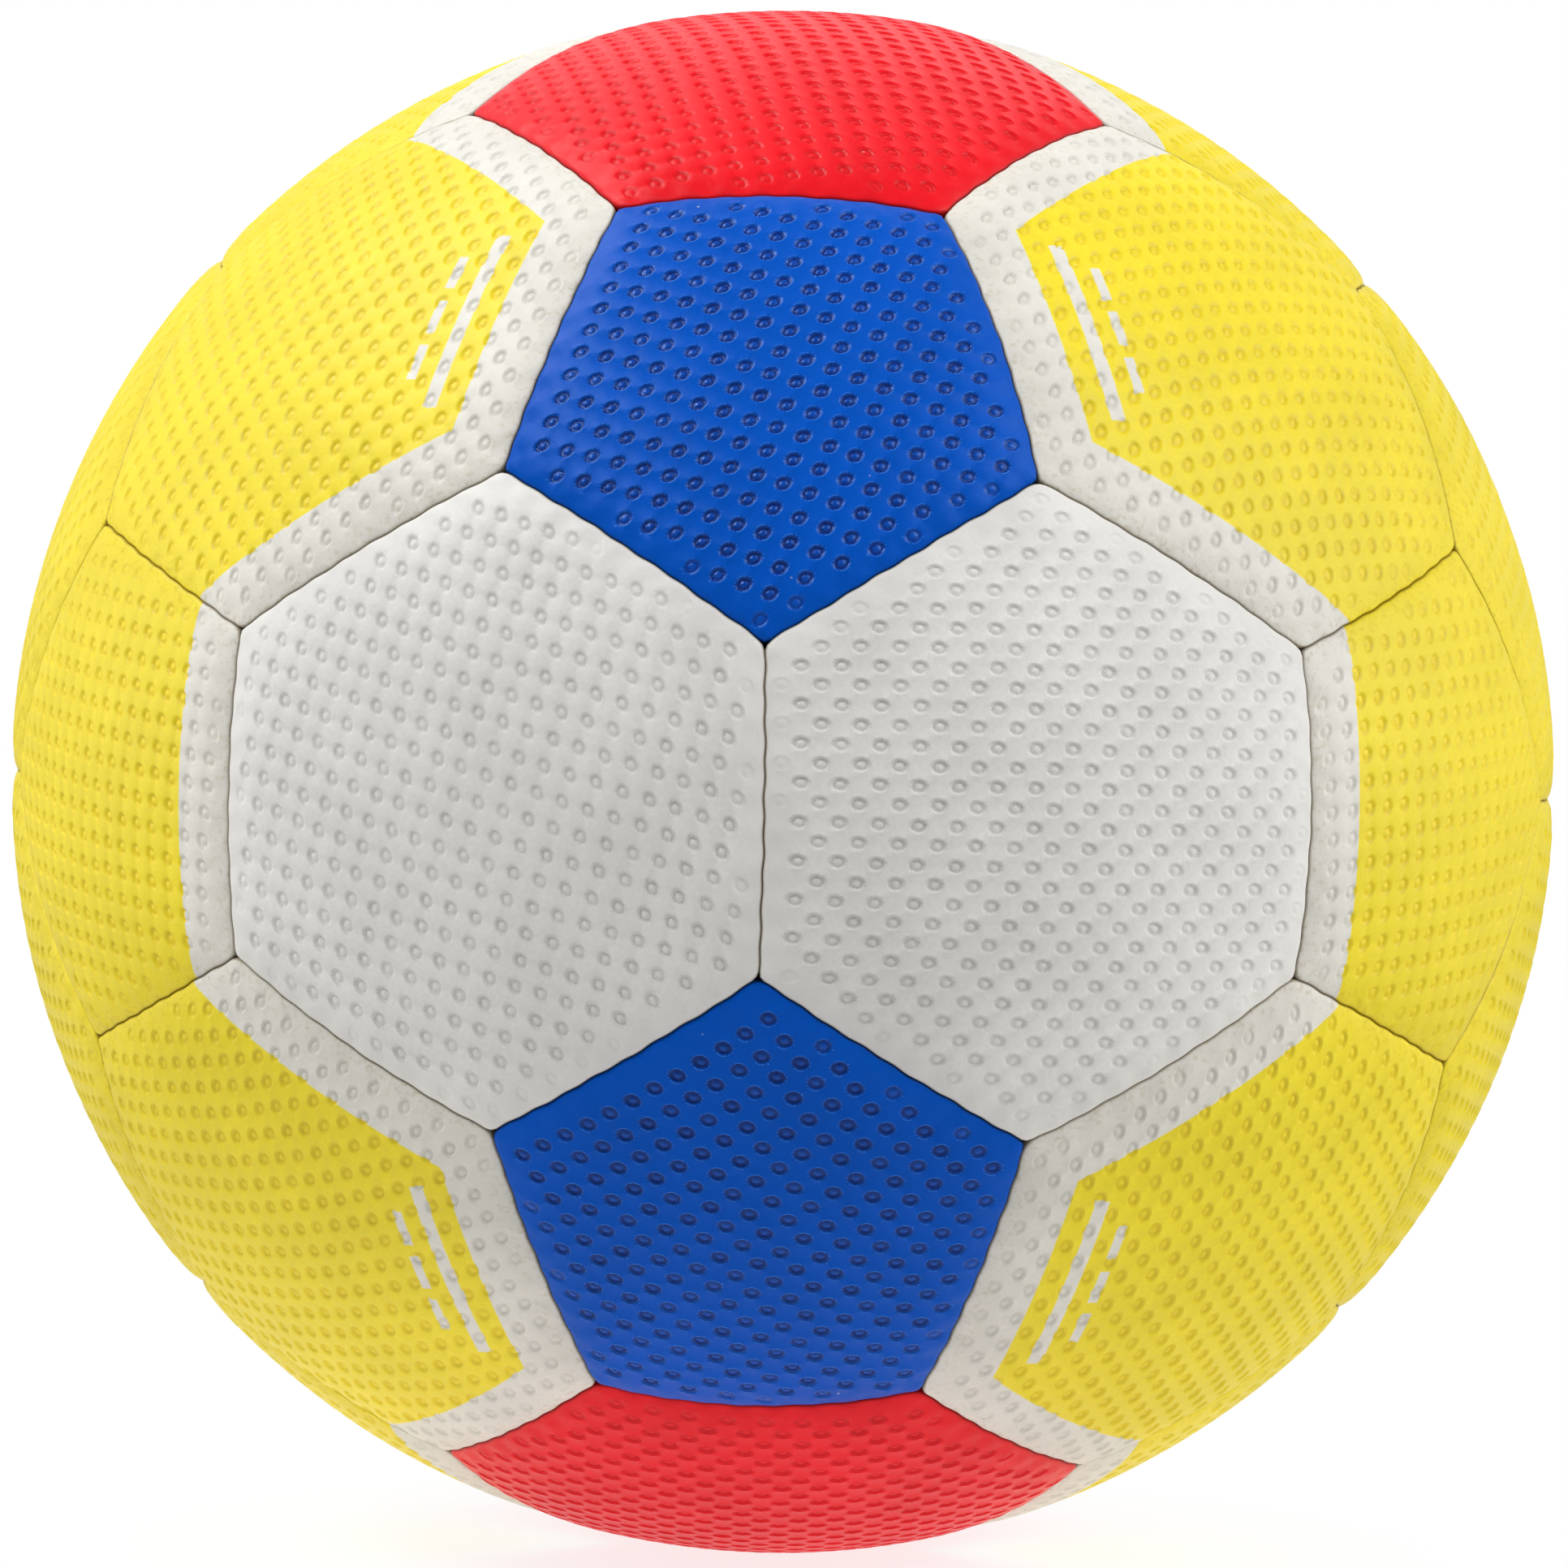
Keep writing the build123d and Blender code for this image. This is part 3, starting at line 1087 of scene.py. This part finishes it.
@dataclass
class SeamThread:
    """Short stitches of sewing thread that cross the bottom of every seam, in millimetres."""

    stitches: int = 9
    radius: float = 0.2
    length: float = 1.1
    depth: float = 1.2
    sides: int = 6
    bends: Floats = (-1.0, -0.55, 0.0, 0.55, 1.0)
    stitching: Stitching = Stitching()
    finish: PlainFinish = PlainFinish("thread", linear(92, 88, 82), 0.7, 2400.0, 0.00008)

    def stitch(self, out: Array, normal: Array) -> Array:
        """Points of one stitch.

        Args:
            out: Direction from the ball's centre to the stitch.
            normal: Direction across the seam.

        Returns:
            Points as rows, ring after ring along the stitch.
        """
        forward = np.cross(out, normal)
        section = circle(self.sides) @ np.stack([out, forward]) * self.radius
        rings = []
        for bend in self.bends:
            sink = self.depth + 0.5 * self.length * bend * bend
            rings.append(section + out * (BALL_RADIUS - sink) + normal * bend * self.length / 2)
        return np.concatenate(rings)

    def stitch_faces(self, base: int) -> list[list[int]]:
        """Close the rings of a stitch.

        Args:
            base: Number of its first point.

        Returns:
            Point numbers of each face.
        """
        sides, faces = self.sides, []
        for ring in range(len(self.bends) - 1):
            start = base + ring * sides
            for k in range(sides):
                a, b = start + k, start + (k + 1) % sides
                faces.append([b, a, a + sides, b + sides])
        end = base + (len(self.bends) - 1) * sides
        faces.append([base + k for k in range(sides)])
        faces.append([end + k for k in reversed(range(sides))])
        return faces

    def seam(self, first: Array, second: Array, shape: Shape) -> list[Array]:
        """Lay the stitches of the seam between two panels.

        Args:
            first: Direction of a panel.
            second: Direction of its neighbour.
            shape: Shape of the first panel.

        Returns:
            Points of each stitch.
        """
        across = unit(second - first * (second @ first))
        normal = across * math.cos(shape.slope) - first * math.sin(shape.slope)
        middle = unit(first + second)
        middle = unit(middle - normal * (middle @ normal))
        along = np.cross(normal, middle)
        bow = float(self.stitching.bows(middle[None, :])[0]) * canonical_sign(normal)
        found = []
        for index in range(self.stitches):
            run = (index - (self.stitches - 1) / 2) * self.stitching.pitch
            angle = run / BALL_RADIUS
            lean = bow * float(self.stitching.bowed(run)) / BALL_RADIUS
            out = unit(middle * math.cos(angle) + along * math.sin(angle) + normal * lean)
            found.append(self.stitch(out, normal))
        return found

    def build(self, cover: Cover) -> None:
        """Lay a stitch at every needle hole of every seam.

        Args:
            cover: The cover that is sewn.
        """
        panels = [(shape, unit(centre)) for shape, centre in cover.centres()]
        points, faces = [], []
        for index, (shape, first) in enumerate(panels):
            for _, second in panels[:index]:
                if first @ second >= NEIGHBOUR_COSINE:
                    for stitch in self.seam(first, second, shape):
                        faces += self.stitch_faces(len(points) * len(stitch))
                        points.append(stitch)
        mesh = bpy.data.meshes.new("seam_threads")
        mesh.from_pydata((np.concatenate(points) * MM).tolist(), [], faces)
        mesh.polygons.foreach_set("use_smooth", [True] * len(faces))
        piece = added("seam_threads", mesh)
        mesh.materials.append(self.finish.material())
        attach(piece, "root")
        LOG.info("built seam_threads with %d faces", len(faces))


@dataclass
class Inside:
    """The layers under the cover and the valve, on their own construction nodes.

    Each finish is for the nodes that have its name in theirs.
    """

    finishes: tuple[PlainFinish, ...] = (
        PlainFinish("foam", linear(226, 220, 206), 0.9, 1500.0, 0.0003),
        PlainFinish("lining", linear(214, 208, 192), 0.85, 700.0, 0.0002, weave=True),
        PlainFinish("bladder", linear(52, 50, 48), 0.55, 260.0, 0.0002),
        PlainFinish("valve_housing", linear(44, 44, 45), 0.5, 900.0, 0.0001),
        PlainFinish("valve_core", linear(60, 59, 58), 0.48, 900.0, 0.0001),
    )

    def dress(self) -> None:
        """Give each inner node its finish."""
        for finish in self.finishes:
            material = finish.material()
            for name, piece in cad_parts.items():
                if finish.name in name:
                    piece.data.materials.clear()
                    piece.data.materials.append(material)
                    LOG.info("dressed %s", name)


@dataclass(frozen=True)
class Lamp:
    """A soft square lamp that faces the ball, in metres and watts."""

    name: str
    place: Floats
    size: float
    power: float

    def build(self) -> None:
        """Hang the lamp."""
        data = bpy.data.lights.new(self.name, "AREA")
        data.size, data.energy = self.size, self.power
        lamp = added(self.name, data)
        lamp.location = self.place
        lamp.rotation_euler = (-Vector(self.place)).to_track_quat("-Z", "Y").to_euler()


@dataclass
class Studio:
    """Floor, light and the camera of the photograph.

    The distance is in ball radii, the outline's radius and the ball's place are in pixels of the
    photograph, and the turn of the camera round the ball is in degrees.
    """

    distance: float = 11.8
    outline_pixels: float = 949.87
    frame_pixels: float = 1932.0
    ball_pixels: Floats = (964.5, 962.9)
    turn: Floats = (2.10, 1.10, -1.47)
    sensor: float = 36.0
    clip: Floats = (0.01, 100.0)
    floor_reach: float = 12.0
    floor_grey: float = 0.5
    shadow_reach: Floats = (0.015, 0.085)
    shadow_white: float = 0.5
    bounce: float = 0.6
    bounce_reach: Floats = (0.02, 0.2)
    front_light: float = 0.17
    back_light: float = 0.58
    back_from: float = 0.6
    lamps: tuple[Lamp, ...] = (
        Lamp("key", (-0.7, -0.53, 0.97), 0.36, 7.5),
        Lamp("over", (-0.7, 0.2, 1.05), 0.55, 5.1),
        Lamp("fill", (0.95, -0.48, 0.82), 0.8, 8.6),
        Lamp("left", (-1.3, 0.2, 0.3), 0.8, 3.7),
        Lamp("right", (1.3, 0.1, 0.3), 0.8, 4.7),
        Lamp("back", (0.0, 0.95, 0.9), 0.8, 0.9),
    )

    def camera(self) -> None:
        """Place the camera so that the ball fills the picture as in the photograph."""
        data = bpy.data.cameras.new("camera")
        camera = added("camera", data)
        spin = Vector(math.radians(angle) for angle in self.turn)
        back = Matrix.Rotation(-spin.length, 4, spin.normalized())
        away = Matrix.Translation((0, -self.distance * BALL_RADIUS * MM, 0))
        camera.matrix_world = back @ away @ Euler((math.pi / 2, 0, 0)).to_matrix().to_4x4()
        focal = self.outline_pixels * math.sqrt(self.distance**2 - 1)
        data.sensor_width = self.sensor
        data.lens = self.sensor * focal / self.frame_pixels
        data.shift_x = (self.frame_pixels / 2 - self.ball_pixels[0]) / self.frame_pixels
        data.shift_y = (self.ball_pixels[1] - self.frame_pixels / 2) / self.frame_pixels
        data.clip_start, data.clip_end = self.clip
        bpy.context.scene.camera = camera

    def floor(self) -> None:
        """A pale floor, white for the camera but for a soft shadow, and clear from below."""
        low, size = CAD_BOUNDS[0][2], self.floor_reach
        mesh = bpy.data.meshes.new("floor")
        corners = [(-size, -size, low), (size, -size, low), (size, size, low), (-size, size, low)]
        mesh.from_pydata(corners, [], [(0, 1, 2, 3)])
        floor = added("floor", mesh)
        graph = Graph(bpy.data.materials.new("floor"))
        place = graph.node("TexCoord").outputs["Object"]
        flat = graph.node("VectorMath", {0: place, 1: (1, 1, 0)}, operation="MULTIPLY")
        away = graph.node("VectorMath", {0: flat.outputs[0]}, operation="LENGTH")
        away = away.outputs["Value"]
        grey = (self.floor_grey, self.floor_grey, self.floor_grey, 1)
        matt = graph.node("BsdfDiffuse", {0: grey})
        bounce = graph.ramp(away, *self.bounce_reach, self.bounce, 0.0)
        table = graph.node("Emission", {0: WHITE, 1: bounce})
        lit = graph.node("AddShader", {0: matt.outputs[0], 1: table.outputs[0]})
        glow = graph.node("Emission", {0: WHITE, 1: 1.0})
        seen = graph.node("LightPath").outputs["Is Camera Ray"]
        fade = graph.ramp(away, *self.shadow_reach, self.shadow_white, 1.0)
        share = graph.math("MULTIPLY", seen, fade)
        above = graph.node("MixShader", {0: share, 1: lit.outputs[0], 2: glow.outputs[0]})
        under = graph.node("NewGeometry").outputs["Backfacing"]
        clear = graph.node("BsdfTransparent").outputs[0]
        sides = graph.node("MixShader", {0: under, 1: above.outputs[0], 2: clear})
        graph.node("OutputMaterial", {0: sides.outputs[0]})
        mesh.materials.append(graph.owner)

    def world(self) -> None:
        """White for the camera, and a soft light on the ball that is stronger from behind it."""
        graph = Graph(bpy.data.worlds.new("studio"))
        way = graph.node("TexCoord").outputs["Generated"]
        behind = graph.node("SeparateXYZ", {0: way}).outputs[1]
        levels = {0: behind, 2: self.back_from, 3: self.front_light, 4: self.back_light}
        light = graph.node("MapRange", levels).outputs[0]
        seen = graph.node("LightPath").outputs["Is Camera Ray"]
        level = graph.node("MapRange", {0: seen, 3: light, 4: 1.0}).outputs[0]
        back = graph.node("Background", {0: WHITE, 1: level})
        graph.node("OutputWorld", {0: back.outputs[0]})
        bpy.context.scene.world = graph.owner

    def build(self) -> None:
        """Set up the whole studio."""
        self.camera()
        self.floor()
        self.world()
        for lamp in self.lamps:
            lamp.build()
        bpy.context.scene.view_settings.view_transform = "Standard"


def main() -> None:
    """Build the ball, its inside and the studio."""
    logging.basicConfig(level=logging.INFO, format="%(message)s")
    cover = Cover()
    cover.build()
    SeamThread().build(cover)
    Inside().dress()
    Studio().build()


if __name__ == "__main__":
    main()
